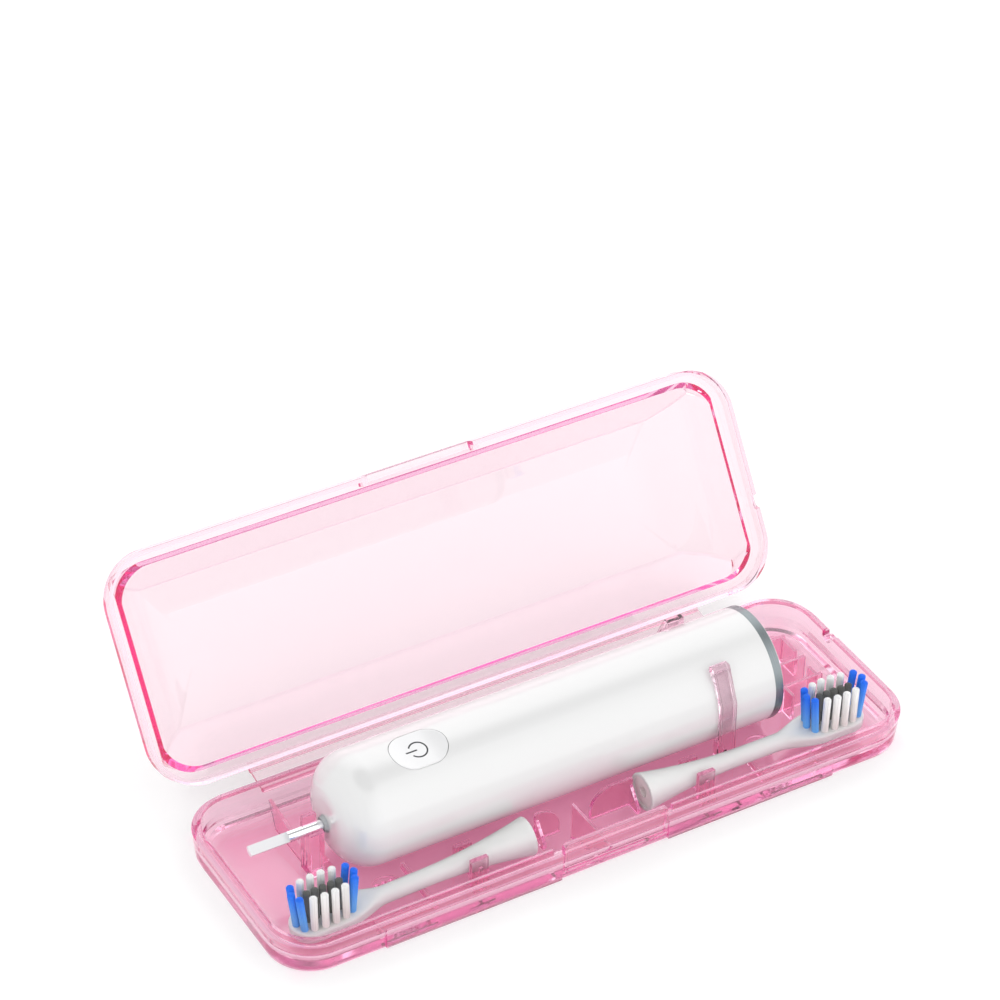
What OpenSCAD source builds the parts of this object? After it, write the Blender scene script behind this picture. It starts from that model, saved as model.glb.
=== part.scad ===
// Travel case for an electric toothbrush, shown open with its toothbrush handle and two brush heads.
// Millimetres. X runs along the case, Y from the latch at the front to the hinge at the back, Z up.
// The origin is the middle of the base's underside.

/* [Case] */
// Outside length of the case
case_l = 240; // [236:1:270]
// Outside width of the case
case_w = 80; // [80:1:92]
// Corner radius seen from above
corner_r = 17; // [15:0.5:22]
// Height of the base's outer wall, up to the parting line
base_h = 11.3; // [10.5:0.1:14]
// Thickness of the base's floor
floor_t = 1.6; // [1.2:0.1:2.4]
// Wall thickness of the lid
lid_t = 1.6; // [1.2:0.1:2]
// How far the base's underside is drawn in from its rim
draft_in = 1; // [0.4:0.1:1.6]
// Radius of the fillet between the base's wall and its floor
fillet_r = 7; // [4:0.5:9]

/* [Rim] */
// Height of the base's locating lip above the parting line
lip_h = 2; // [1:0.1:3]
// Thickness of the lip
lip_t = 1.2; // [0.8:0.1:1.6]
// Gap between the lip and the lid's skirt
lip_gap = 0.25; // [0.15:0.05:0.4]
// Height of the lid's outer skirt
skirt_h = 6; // [5.4:0.1:8]
// Width of the flat flange between the skirt and the dome
flange_in = 4; // [3:0.25:6]
// Width of the finger notch at the right end
notch_w = 5; // [3:0.5:8]
// Distance of the finger notch from the back
notch_back = 28.3; // [24:0.1:36]

/* [Lid dome] */
// Slope of the dome's front and back faces
dome_slope = 63.5; // [55:0.5:72]
// Radius of the gently arched top
crown_r = 67; // [55:1:120]
// Radius of the roll-off at both ends
end_roll_r = 34; // [26:1:40]

/* [Hinge] */
// Length of the film hinge along the back
hinge_l = 175.4; // [120:0.2:190]
// Distance between the two fold lines
fold_gap = 7.5; // [6.5:0.1:9]
// Radius of the bead on each edge of the strap
bead_r = 0.55; // [0.45:0.05:0.7]
// Running clearance round a bead
bead_gap = 0.05; // [0.03:0.01:0.08]
// Thickness of the strap at its fold lines
film_t = 0.6; // [0.4:0.05:0.7]
// Thickness of the strap between its fold lines
strap_t = 0.9; // [0.7:0.05:1]
// Opening angle of the strap against the base
fold_base = 79; // [60:1:84]
// Opening angle of the lid against the strap
fold_lid = 44.7; // [30:0.1:50]

/* [Latch] */
// Width of the latch cut-out in the lid's skirt
latch_w = 40.6; // [30:0.2:44]
// Gap at each side of the base's tongue
latch_gap = 0.7; // [0.4:0.1:1.2]
// Height of the tongue above the parting line
tongue_h = 4; // [2.6:0.1:4]
// Thickness of the tongue
tongue_t = 1.45; // [1:0.05:1.5]
// Thickness of the catch bar in the lid
bar_t = 1; // [0.8:0.1:1.2]

/* [Toothbrush handle] */
// Radius of the handle
handle_r = 20; // [17:0.25:20.5]
// Length of the handle without its shaft
handle_l = 163.5; // [150:0.5:166]
// Share of the spare length inside the case that lies left of the shaft's tip
left_share = 0.1785; // [0.14:0.0005:0.2]
// How far the handle lies behind the middle of the case
handle_back = 2.5; // [2.5:0.25:4]
// Radius of the rounding at the nose
nose_r = 13; // [12:0.5:14]
// Wall of the handle's housing
shell_t = 1.8; // [1.5:0.1:2.2]
// Width of the metallic ring near the end
ring_w = 3; // [2:0.25:5]
// Thickness of the end cap outside the ring
cap_t = 0.6; // [0.5:0.1:2]
// Turn of the handle in its bed, towards the front
handle_turn = 10; // [0:1:30]
// Gap under the handle where it lies on the floor
rest_gap = 0.3; // [0.2:0.05:0.5]
// Room between the handle and the closed lid
head_room = 0.6; // [0.4:0.1:3]

/* [Power button] */
// Distance of the button's centre from the nose
button_x = 32.2; // [28:0.2:34]
// Length of the button along the handle
button_l = 20; // [16:0.5:22]
// Width of the button round the handle
button_w = 14.5; // [12:0.5:15]
// Travel of the button
button_travel = 0.4; // [0.2:0.05:0.5]
// Gap round the button
button_gap = 0.15; // [0.1:0.05:0.3]

/* [Drive] */
// Radius of the drive shaft
shaft_r = 1.85; // [1.5:0.05:2.2]
// How far the shaft's axis lies below the handle's axis, away from the button
shaft_drop = 2.1; // [1:0.1:2.4]
// Turn of the shaft's flat towards the front, against the button
flat_turn = 12; // [0:1:30]
// Length of shaft outside the handle
shaft_out = 27.2; // [20:0.2:29]
// Length of the flat at the shaft's tip
shaft_flat = 13.7; // [8:0.1:16]
// Running clearance of the shaft in its bush
shaft_gap = 0.05; // [0.03:0.01:0.1]
// Radius of the motor's can
can_r = 11; // [10:0.1:11.2]
// Length of the motor's can
can_l = 40; // [36:0.5:44]
// Radius of the battery
cell_r = 7; // [6:0.25:9]
// Length of the battery
cell_l = 50; // [46:0.5:52]

/* [Brush heads] */
// Length of a brush head
head_l = 87; // [84:0.5:90]
// Radius of the stem's open end
stem_r = 6.8; // [6.4:0.1:7.2]
// Radius of the stem's neck
neck_r = 3.1; // [2.6:0.1:3.4]
// Distance over which the stem flares
flare_l = 40; // [34:1:46]
// Width of the bristle plate
plate_w = 14; // [13:0.25:15]
// Thickness of the bristle plate
plate_t = 4; // [3:0.25:4.5]
// Distance between the heads' axis and the handle's axis, seen from above
head_apart = 26; // [25.5:0.25:27]
// Distance of the left head's tip from the left end of the case
left_tip_in = 9.5; // [8:0.5:12]
// Distance of the right head's tip from the right end of the case
right_tip_in = 13; // [12:0.5:14]
// Slope of the left head, down towards its tip
left_dip = 1.8; // [0:0.1:2.2]
// Slope of the right head, down towards its tip
right_dip = 0.8; // [0:0.1:2]
// Length of the white bristles
bristle_l = 14; // [11:0.25:14]
// How much longer the blue bristles are, and how much shorter the grey ones
bristle_step = 0.5; // [0:0.1:0.8]
// Distance between the white tufts along the head
tuft_pitch = 3.8; // [3.4:0.1:3.9]
// Strands in the outer ring of a tuft
ring_strands = 9; // [6:1:9]
// Strands in the inner ring of a tuft
core_strands = 3; // [2:1:3]
// Half the thickness of a strand, corner to corner
strand_r = 0.22; // [0.15:0.01:0.25]

/* [Moulded fittings] */
// Thickness of the thin ribs
rib_t = 1.2; // [0.9:0.1:1.6]
// Clearance between a clip and what it holds
clip_gap = 0.25; // [0.2:0.05:0.5]
// Width of the handle's clip arms
arm_w = 6.4; // [4:0.2:8]
// Place of the handle's clip between the right head's clip and the handle's end, as a share
clip_share = 0.3352; // [0.2:0.0002:0.6]
// Height of the handle's clip arms above the handle's axis
arm_rise = 17.6; // [12:0.2:17.8]
// Width of the brush-head clips
head_clip_w = 6.2; // [4:0.2:8]
// Distance of a head's clip from the stem's open end
head_clip_x = 21.5; // [18:0.5:24]
// Height of the low bay walls above the floor
bay_h = 2.2; // [1.5:0.1:2.4]
// Height of the end-stop ribs above the floor
stop_h = 10.4; // [7:0.2:11]
// Share of the room behind the handle that the end stop's ribs fill
stop_share = 0.6; // [0.4:0.01:0.62]
// Height of the centre screens above the floor
screen_h = 11; // [8:0.2:12]
// Height of the divider's peak above the floor
divider_h = 14.4; // [10:0.2:16]
// Radius of each vent hole
vent_r = 0.9; // [0.6:0.05:1.1]
// Distance between vent holes
vent_pitch = 2.64; // [2.4:0.02:2.8]

/* [Hidden] */
$fn = 64;
eps = 0.01;
skin = 0.02;

half_l = case_l / 2;
half_w = case_w / 2;
lip_in = lid_t + lip_gap;
wall_in = lip_in + lip_t;
foot_edge = 1.2;
catch_block = 2;
fillet_steps = 6;

axis_y = handle_back;
axis_z = floor_t + rest_gap + handle_r;
nose_x = left_share * (case_l - handle_l - shaft_out) + shaft_out - half_l;
handle_end = nose_x + handle_l;
lid_rise = axis_z + handle_r + head_room + lid_t - base_h;

head_y = axis_y - head_apart;
head_z = floor_t + rest_gap + stem_r;
left_base_x = left_tip_in + head_l - half_l;
right_base_x = half_l - right_tip_in - head_l;
right_clip_end = right_base_x + head_clip_x + head_clip_w / 2;
clip_x = right_clip_end + clip_share * (handle_end - right_clip_end);

groove_r = bead_r + bead_gap;
barrel_r = groove_r + 0.5;
barrel_reach = 1.2;
hinge_y = half_w + barrel_reach;
fold_z = base_h - fold_gap / 2;
slot_side = 38;
open_y = hinge_y + fold_gap * sin(fold_base);
open_z = fold_z + fold_gap * cos(fold_base);

// Handle, measured from its nose
body_l = handle_l - ring_w - cap_t;
bore_r = handle_r - shell_t;
nose_t = 2.8;
seal_r = 3.3;
bush_r = 5;
seal_flange = 1.2;
can_x = nose_t + seal_flange;
can_t = 0.8;
can_plate = 1.5;
bush_l = 6;
magnet_r = 6.5;
magnet_l = 26;
magnet_x = can_x + bush_l + 2;
coil_in = magnet_r + 0.7;
coil_out = can_r - can_t - 0.1;
board_z = can_r - shaft_drop + 0.5;
board_t = 1.2;
board_l = 88;
board_w = 20;
board_x = 22;
switch_t = 3.6;
switch_w = 6;
nub_t = 0.3;
nub_r = 1.7;
button_low = board_z + board_t + switch_t + nub_t + button_travel + 0.1;
button_flange = 0.6;
button_lap = 0.9;
button_proud = 0.15;
frame_r = bore_r - 0.2;
frame_t = 1.6;
frame_x = 22;
frame_end = body_l - 10;
bulkhead_t = 2;
cell_x = can_x + can_l + 12;
cell_fit = 0.1;
charge_l = 8;
charge_r = 12;
charge_post = 6.9;
cap_spigot = 9;
cap_wall = 2.4;
ring_seal_r = 0.65;

// Brush head, measured from its open end
disc_r = stem_r - 1.4;
socket_r = 3.5;
socket_l = 14;
socket_in = 0.6;
disc_t = 2;
socket_gap = 0.05;
neck_end = head_l - 26;
plate_top = head_l - plate_w / 2;
plate_low = head_l - 25 + plate_w / 2;
plate_z = 2.2;
slice_t = 0.8;
slice_in = 0.6;
tuft_r = 1.05;
tuft_reach = tuft_r + strand_r + 0.06;
core_r = 0.42;
row_y = plate_w / 2 - 2.5;
row_bow = 0.4;
mid_row = 2.5;
tip_zone = 4.85;
far_zone = tip_zone + 3 * tuft_pitch + 2.85;
first_tuft = tip_zone + 1.43;
grey_first = tip_zone + tuft_reach;
grey_pitch = (far_zone - tip_zone - 2 * tuft_reach) / 4;
blue_lean = 5.7;
blue_side = 3.2;

// General shapes

module rounded_plan(l, w, r) {
    square([l - 2 * r, w], center = true);
    square([l, w - 2 * r], center = true);
    for (sx = [-1, 1], sy = [-1, 1])
        translate([sx * (l / 2 - r), sy * (w / 2 - r)])
            circle(r);
}

// Carries a wall's section round the rim; in the section X is the distance in from the outside.
module round_rim() {
    for (side = [0, 1])
        mirror([0, side, 0])
            translate([corner_r - half_l, -half_w, 0])
                rotate([90, 0, 90])
                    linear_extrude(case_l - 2 * corner_r)
                        children();
    for (side = [0, 1])
        mirror([side, 0, 0])
            translate([-half_l, half_w - corner_r, 0])
                rotate([90, 0, 0])
                    linear_extrude(case_w - 2 * corner_r)
                        children();
    for (side_x = [0, 1], side_y = [0, 1])
        mirror([side_x, 0, 0])
            mirror([0, side_y, 0])
                translate([corner_r - half_l, corner_r - half_w, 0])
                    rotate([0, 0, 180])
                        rotate_extrude(angle = 90)
                            translate([corner_r, 0])
                                mirror([1, 0])
                                    children();
}

// Extrudes a section drawn in Y and Z along X, centred.
module along_x(l) {
    rotate([90, 0, 90])
        linear_extrude(l, center = true)
            children();
}

// Turns a section drawn as radius and distance about the X axis.
module turned() {
    rotate([0, 90, 0])
        rotate_extrude()
            children();
}

module box(x0, x1, y0, y1, z0, z1) {
    translate([x0, y0, z0])
        cube([x1 - x0, y1 - y0, z1 - z0]);
}

// Hinge

function fan(a0, a1, reach) = concat([[0, 0]], [for (i = [0:6])
    let (a = a0 + (a1 - a0) * i / 6) [reach * sin(a), reach * cos(a)]]);

// Barrel with a groove for the strap's bead, open between two directions measured from straight up.
module grooved_barrel(a0, a1) {
    along_x(hinge_l)
        difference() {
            union() {
                circle(barrel_r);
                translate([-barrel_reach - draft_in, -barrel_r / 2])
                    square([barrel_reach + draft_in, barrel_r]);
            }
            circle(groove_r);
            polygon(fan(a0 - slot_side, a1 + slot_side, 2 * barrel_r));
        }
}

module hinge_strap() {
    color("pink")
        translate([0, hinge_y, fold_z])
            rotate([-fold_base, 0, 0])
                along_x(hinge_l)
                    union() {
                        circle(bead_r);
                        translate([0, fold_gap])
                            circle(bead_r);
                        translate([-film_t / 2, 0])
                            square([film_t, fold_gap]);
                        translate([-strap_t / 2, 1.5 * barrel_r])
                            square([strap_t, fold_gap - 3 * barrel_r]);
                    }
}

// Base

module base_section() {
    polygon(concat(
        [[draft_in + foot_edge, 0], [draft_in + 0.3 * foot_edge, 0.35 * foot_edge], [draft_in, foot_edge]],
        [[0, base_h], [lip_in, base_h], [lip_in, base_h + lip_h], [wall_in, base_h + lip_h]],
        [for (i = [0:fillet_steps])
            let (a = 90 * i / fillet_steps)
                [wall_in + fillet_r * (1 - cos(a)), floor_t + fillet_r * (1 - sin(a))]],
        [[wall_in + fillet_r, 0]]));
}

module base_walls() {
    round_rim()
        base_section();
    floor_in = wall_in + fillet_r - 1;
    linear_extrude(floor_t)
        rounded_plan(case_l - 2 * floor_in, case_w - 2 * floor_in, corner_r - floor_in);
}

// Shallow band along the front wall, which ends in a step at each end.
module front_band() {
    band_l = case_l - 70;
    band_t = 0.5;
    band_top = 0.8 * base_h;
    difference() {
        box(-band_l / 2, band_l / 2, -half_w - band_t + 0.3, 1.8 - half_w, foot_edge, band_top);
        box(-latch_w / 2, latch_w / 2, -half_w - band_t, draft_in - half_w - 0.1, 0, base_h);
    }
}

// Tongue that stands in the lid's cut-out, with its side posts and the ledge below them.
module latch_tongue() {
    tongue_w = latch_w - 2 * latch_gap;
    front = -half_w + 0.2;
    back = front + tongue_t;
    top = base_h + tongue_h;
    post_w = 1;
    post_out = 0.5;
    ledge_z = 4.3;
    ledge_w = latch_w - 4;
    corner = 1.2;
    intersection() {
        union() {
            box(-tongue_w / 2, tongue_w / 2, front, back, base_h - 2, top);
            for (s = [-1, 1])
                translate([s * (tongue_w - post_w) / 2, 0, 0])
                    box(-post_w / 2, post_w / 2, front - post_out, back, ledge_z, top);
            box(-ledge_w / 2, ledge_w / 2, front - 0.4, back, ledge_z, ledge_z + 0.9);
            box(-tongue_w / 2, tongue_w / 2, front - 0.3, back, top - 0.8, top);
        }
        translate([0, back + 1, 0])
            rotate([90, 0, 0])
                linear_extrude(tongue_t + 4)
                    union() {
                        translate([-tongue_w / 2, 0])
                            square([tongue_w, top - corner]);
                        translate([-tongue_w / 2 + corner, 0])
                            square([tongue_w - 2 * corner, top]);
                        for (s = [-1, 1])
                            translate([s * (tongue_w / 2 - corner), top - corner])
                                circle(corner);
                    }
    }
}

// Middle of the shaft in the base, seen along the case
function shaft_y() = axis_y + shaft_drop * sin(handle_turn);
function shaft_z() = axis_z - shaft_drop * cos(handle_turn);

// Post with a slot for the shaft, a pointed fin towards the back and two gussets.
module shaft_cradle() {
    post_l = 5;
    post_w = 7;
    post_x = nose_x - 2 - post_l;
    slot_r = shaft_r + clip_gap;
    front_top = shaft_z();
    rear_top = shaft_z() + shaft_r + 1.7;
    back_y = shaft_y() + post_w / 2;
    fin_x = post_x + 1.5;
    translate([post_x + post_l / 2, 0, 0])
        along_x(post_l)
            difference() {
                polygon([
                    [back_y - post_w, floor_t - eps],
                    [back_y - post_w, front_top],
                    [shaft_y(), front_top],
                    [shaft_y(), rear_top],
                    [back_y, rear_top],
                    [back_y, floor_t - eps]
                ]);
                translate([shaft_y(), shaft_z()])
                    circle(slot_r);
                translate([shaft_y() - slot_r + 0.03, shaft_z() - 0.1])
                    square([2 * slot_r - 0.06, handle_r]);
            }
    translate([fin_x, 0, 0])
        along_x(rib_t)
            polygon([
                [back_y - 1, floor_t - eps],
                [back_y - 1, floor_t + 6.9],
                [back_y + 8, floor_t + 7.2],
                [half_w - wall_in - 6.4, floor_t + 9.5],
                [half_w - wall_in - fillet_r - 4, floor_t - eps]
            ]);
    for (s = [-1, 1])
        translate([0, back_y - post_w / 2 + s * (post_w / 2 - rib_t), 0])
            rotate([90, 0, 0])
                linear_extrude(rib_t, center = true)
                    polygon([
                        [post_x + post_l - eps, floor_t - eps],
                        [post_x + post_l + 4.5, floor_t - eps],
                        [post_x + post_l - eps, floor_t + 0.35 * handle_r]
                    ]);
}

// Low wall that bends round a vent bay at one end of the case.
module bay_wall(side, near_x, far_x, back_y) {
    top = floor_t + bay_h;
    turn_y = head_y - 6.4;
    for (run = [
        [near_x, near_x, turn_y, back_y],
        [min(near_x, far_x), max(near_x, far_x), turn_y, turn_y],
        [far_x, far_x, -half_w + wall_in - 0.4, turn_y]
    ])
        box(run[0] - rib_t / 2, run[1] + rib_t / 2, run[2] - rib_t / 2, run[3] + rib_t / 2,
            floor_t - eps, top);
}

// Outline of a clip arm seen along the case, moved in by t; it hugs the handle above its widest point.
module arm_section(t) {
    inner = handle_r + clip_gap;
    top = axis_z + arm_rise;
    lean = sqrt(pow(inner + 1.3, 2) - pow(arm_rise, 2));
    difference() {
        translate([t, 0])
            polygon([
                [-inner - 1.55, floor_t],
                [-inner - 0.85, axis_z + 5.2],
                [-lean - 2.8, top],
                [-lean - 1.2, top],
                [-lean - 1.2, axis_z],
                [-inner, axis_z],
                [-inner, floor_t]
            ]);
        translate([0, axis_z])
            circle(inner, $fn = 128);
        translate([-inner, 0])
            square([inner, axis_z]);
    }
}

module clip_arm() {
    flange_w = 0.9;
    web_in = 0.8;
    cap_h = 1.2;
    along_x(arm_w)
        arm_section(web_in);
    for (s = [-1, 1])
        translate([s * (arm_w - flange_w) / 2, 0, 0])
            along_x(flange_w)
                arm_section(0);
    along_x(arm_w)
        intersection() {
            arm_section(0);
            translate([-2 * handle_r, axis_z + arm_rise - cap_h])
                square([2 * handle_r, 2 * cap_h]);
        }
}

// Thin curved fin that braces a clip arm on its left side.
module arm_fin() {
    intersection() {
        along_x(4 * arm_w)
            arm_section(0.5);
        rotate([90, 0, 0])
            linear_extrude(2 * handle_r)
                polygon([
                    [0, floor_t],
                    [0, axis_z + 0.86 * arm_rise],
                    [-9, axis_z - 0.9],
                    [-2.1 * arm_w, floor_t]
                ]);
    }
}

// The pair of springy clip arms that hold the handle; they stand on the floor and bend to let it out.
module handle_clip() {
    color("pink")
        translate([clip_x, axis_y, 0]) {
            clip_arm();
            mirror([0, 1, 0])
                union() {
                    clip_arm();
                    arm_fin();
                }
        }
}

// Foot ribs that reach in under the handle from both clip arms.
module clip_feet() {
    inner = handle_r + clip_gap;
    foot_in = 0.72 * handle_r;
    foot_z = axis_z - sqrt(pow(inner, 2) - pow(foot_in, 2));
    for (s = [0, 1])
        translate([clip_x, axis_y, 0])
            mirror([0, s, 0])
                box(-rib_t / 2, rib_t / 2, -inner, -foot_in, floor_t - eps, foot_z);
}

// Two short arms and the web that ties them, which hold a stem.
module head_clip(x) {
    stem_here = neck_r + (stem_r - neck_r) * pow(1 - (head_clip_x - head_clip_w / 2) / flare_l, 2);
    grip = stem_here + clip_gap + 0.15;
    arm_t = 1.7;
    front_top = head_z + 4;
    rear_top = head_z + 1.6;
    web_top = head_z - grip - 1.1;
    translate([x, head_y, 0]) {
        box(-head_clip_w / 2, head_clip_w / 2, -grip - arm_t, -grip, floor_t - eps, front_top);
        box(-head_clip_w / 2, head_clip_w / 2, grip, grip + arm_t, floor_t - eps, rear_top);
        box(-rib_t / 2, rib_t / 2, -grip - arm_t - 0.8, -grip, floor_t - eps, front_top - 3);
        box(-rib_t / 2, rib_t / 2, grip, grip + arm_t + 0.8, floor_t - eps, rear_top - 2);
        box(-rib_t / 2, rib_t / 2, -grip - eps, grip + eps, floor_t - eps, web_top);
    }
}

// Screens on each side of the latch, with a sloping divider between them.
module centre_brackets() {
    screen_y = head_y + 4.1;
    top = floor_t + screen_h;
    for (s = [0, 1]) {
        outer_x = s == 0 ? right_base_x - 1.4 : -left_base_x - 4.9;
        inner_x = (s == 0 ? 0.15 : 0.5) * outer_x;
        round_r = min(8, outer_x - inner_x);
        mirror([s, 0, 0]) {
            translate([0, screen_y, 0])
                rotate([90, 0, 0])
                    linear_extrude(rib_t, center = true)
                        intersection() {
                            union() {
                                translate([inner_x, 0])
                                    square([outer_x - inner_x, top - round_r]);
                                translate([inner_x + round_r, 0])
                                    square([outer_x - inner_x - round_r, top]);
                                translate([inner_x + round_r, top - round_r])
                                    circle(round_r);
                            }
                            translate([inner_x, floor_t - eps])
                                square([outer_x - inner_x, screen_h + 1]);
                        }
            translate([outer_x - rib_t / 2, 0, 0])
                along_x(rib_t)
                    polygon([
                        [screen_y, floor_t - eps],
                        [screen_y, top - 1.6],
                        [screen_y - 5.9, floor_t + 2],
                        [screen_y - 5.9, floor_t - eps]
                    ]);
        }
    }
    front_y = wall_in - 0.2 - half_w;
    back_y = front_y + 13;
    translate([0, front_y, 0])
        rotate([0, 0, 29])
            along_x(rib_t)
                polygon([
                    [0, floor_t - eps],
                    [0, floor_t + 3.3],
                    [(back_y - front_y) / cos(29), floor_t + divider_h],
                    [(back_y - front_y) / cos(29), floor_t - eps]
                ]);
}

// Open ladder of ribs behind the handle's end.
module end_stop() {
    near_x = handle_end + clip_gap;
    far_x = near_x + stop_share * (half_l - handle_end);
    mid_x = near_x + 0.375 * (far_x - near_x);
    ribs = [16, 3.5, -6.8];
    plates = [[far_x - 1.4, 7, 16], [far_x - 2, -6.8, -2], [mid_x, -12.3, -6]];
    top = floor_t + stop_h;
    for (y = ribs)
        box(near_x, far_x, axis_y + y - rib_t / 2, axis_y + y + rib_t / 2, floor_t - eps, top);
    for (p = plates)
        box(p[0] - rib_t / 2, p[0] + rib_t / 2, axis_y + p[1], axis_y + p[2], floor_t - eps, top);
}

// Ten holes in rows of three, four and three.
module vent_holes() {
    for (row = [-1, 0, 1])
        for (i = [0:(row == 0 ? 3 : 2)])
            translate([(i - (row == 0 ? 1.5 : 1)) * vent_pitch, row * vent_pitch, -1])
                cylinder(r = vent_r, h = floor_t + 3);
}

module rim_notch(z) {
    translate([half_l, half_w - notch_back, z])
        rotate([0, 90, 0])
            cylinder(d = notch_w, h = 2 * (wall_in + 1), center = true);
}

module base_tray() {
    vent_x = half_l - 48.5;
    vent_y = -16.4;
    ring_r = 5.7;
    lip_cut = latch_w / 2 + catch_block + lip_gap;
    color("pink")
        difference() {
            union() {
                difference() {
                    base_walls();
                    box(-lip_cut, lip_cut, -half_w - 1, 1 + wall_in - half_w, base_h, base_h + 2 * lip_h);
                }
                front_band();
                latch_tongue();
                translate([0, hinge_y, fold_z])
                    grooved_barrel(0, fold_base);
                shaft_cradle();
                bay_wall(-1, 57.3 - half_l, nose_x + 0.5, head_y + 12.9);
                bay_wall(1, half_l - 56.6, half_l - 36.5, head_y + 6.2);
                clip_feet();
                head_clip(left_base_x - head_clip_x);
                head_clip(right_base_x + head_clip_x);
                centre_brackets();
                end_stop();
                for (s = [-1, 1])
                    translate([s * vent_x, vent_y, 0])
                        difference() {
                            cylinder(r = ring_r, h = floor_t + 0.4);
                            translate([0, 0, floor_t])
                                cylinder(r = ring_r - 0.5, h = 1);
                        }
            }
            for (s = [-1, 1])
                translate([s * vent_x, vent_y, 0])
                    vent_holes();
            rim_notch(base_h);
        }
}

// Lid, drawn closed with its parting line at height 0

function side_in(z, t) = flange_in + (z - skirt_h) / tan(dome_slope) + t / sin(dome_slope);

// Solid of the dome, shrunk by t on every face.
module dome(t, low) {
    top = lid_rise - t;
    intersection() {
        translate([0, 0, low])
            linear_extrude(lid_rise)
                rounded_plan(
                    case_l - 2 * (flange_in + t),
                    case_w - 2 * (flange_in + t),
                    corner_r - flange_in
                );
        along_x(case_l)
            intersection() {
                polygon([
                    [side_in(low, t) - half_w, low],
                    [side_in(lid_rise + 1, t) - half_w, lid_rise + 1],
                    [half_w - side_in(lid_rise + 1, t), lid_rise + 1],
                    [half_w - side_in(low, t), low]
                ]);
                translate([0, lid_rise - crown_r])
                    circle(crown_r - t, $fn = 180);
            }
        rotate([90, 0, 0])
            linear_extrude(case_w, center = true)
                union() {
                    roll_x = half_l - flange_in - end_roll_r;
                    translate([-roll_x, -lid_rise])
                        square([2 * roll_x, lid_rise + top]);
                    for (s = [-1, 1])
                        translate([s * roll_x, lid_rise - end_roll_r])
                            circle(end_roll_r - t, $fn = 128);
                    translate([-half_l + flange_in + t, low])
                        square([case_l - 2 * (flange_in + t), max(0.5, lid_rise - end_roll_r - low)]);
                }
    }
}

module skirt_section() {
    edge = 0.6;
    polygon([
        [0, 0],
        [0, skirt_h - edge],
        [edge, skirt_h],
        [flange_in + 4, skirt_h],
        [flange_in + 4, skirt_h - lid_t],
        [lid_t, skirt_h - lid_t],
        [lid_t, 0]
    ]);
}

module catch_bar() {
    front = lip_in + 0.4 - half_w;
    box(-latch_w / 2, latch_w / 2, front, front + bar_t, 0.4, 0.4 + bar_t);
    for (s = [-1, 1])
        translate([s * (latch_w + catch_block) / 2 - s * eps, 0, 0])
            box(-catch_block / 2, catch_block / 2, -half_w + lid_t / 2, front + bar_t,
                0.4, skirt_h - lid_t / 2);
}

module lid_closed() {
    difference() {
        union() {
            difference() {
                union() {
                    round_rim()
                        skirt_section();
                    dome(0, skirt_h - lid_t);
                }
                dome(lid_t, skirt_h - 2 * lid_t);
            }
        }
        box(-latch_w / 2, latch_w / 2, -half_w - 1, lid_t + 0.1 - half_w, -1, skirt_h - lid_t);
        rim_notch(0);
    }
    catch_bar();
    translate([0, hinge_y, fold_gap / 2])
        grooved_barrel(180 - fold_lid, 180);
}

module lid_shell() {
    color("pink")
        translate([0, open_y, open_z])
            rotate([-fold_base - fold_lid, 0, 0])
                translate([0, -hinge_y, -fold_gap / 2])
                    lid_closed();
}

// Toothbrush handle, drawn along X from its nose with the button upwards

module in_bed() {
    translate([nose_x, axis_y, axis_z])
        rotate([handle_turn, 0, 0])
            children();
}

// The drive's axis lies below the handle's.
module on_drive() {
    in_bed()
        translate([0, 0, -shaft_drop])
            children();
}

module nose_outline(t) {
    shoulder = handle_r - nose_r;
    translate([0, nose_r])
        square([handle_r - t, body_l - nose_r]);
    translate([shoulder, nose_r])
        circle(nose_r - t, $fn = 96);
    translate([0, t])
        square([shoulder, nose_r - t]);
}

module button_plan(grow) {
    end_r = button_w / 2 + grow;
    reach = (button_l - button_w) / 2;
    translate([button_x, 0]) {
        square([2 * reach, 2 * end_r], center = true);
        for (s = [-1, 1])
            translate([s * reach, 0])
                circle(end_r);
    }
}

module handle_shell() {
    color("white")
        in_bed()
            difference() {
                turned()
                    intersection() {
                        nose_outline(0);
                        square([handle_r, body_l]);
                    }
                turned()
                    intersection() {
                        nose_outline(shell_t);
                        translate([0, nose_t])
                            square([handle_r, body_l + 1]);
                    }
                turned()
                    translate([0, body_l - 1])
                        square([bore_r, 2]);
                translate([0, 0, -shaft_drop])
                    turned()
                        translate([0, -1])
                            square([seal_r, nose_t + 2]);
                translate([0, 0, button_low])
                    linear_extrude(handle_r)
                        button_plan(button_gap);
            }
}

module end_ring() {
    color("silver")
        in_bed()
            turned()
                translate([bore_r, body_l])
                    square([shell_t, ring_w]);
}

module end_cap() {
    edge = 0.3;
    floor_x = handle_l - 2;
    spigot_r = bore_r - 0.15;
    groove = spigot_r - 1.15;
    groove_x = body_l - 4;
    color("white")
        in_bed()
            turned()
                difference() {
                    polygon([
                        [0, floor_x],
                        [spigot_r - cap_wall, floor_x],
                        [spigot_r - cap_wall, body_l - cap_spigot],
                        [spigot_r, body_l - cap_spigot],
                        [spigot_r, body_l + ring_w],
                        [handle_r - 0.6, body_l + ring_w],
                        [handle_r - 0.6, handle_l - edge],
                        [handle_r - 0.6 - edge, handle_l],
                        [0, handle_l]
                    ]);
                    translate([groove, groove_x - ring_seal_r - 0.1])
                        square([3, 2 * ring_seal_r + 0.2]);
                }
}

module cap_seal() {
    groove = bore_r - 0.15 - 1.15;
    color("dimgray")
        in_bed()
            turned()
                translate([(groove + bore_r) / 2, body_l - 4])
                    circle(ring_seal_r - 0.02, $fn = 24);
}

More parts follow.
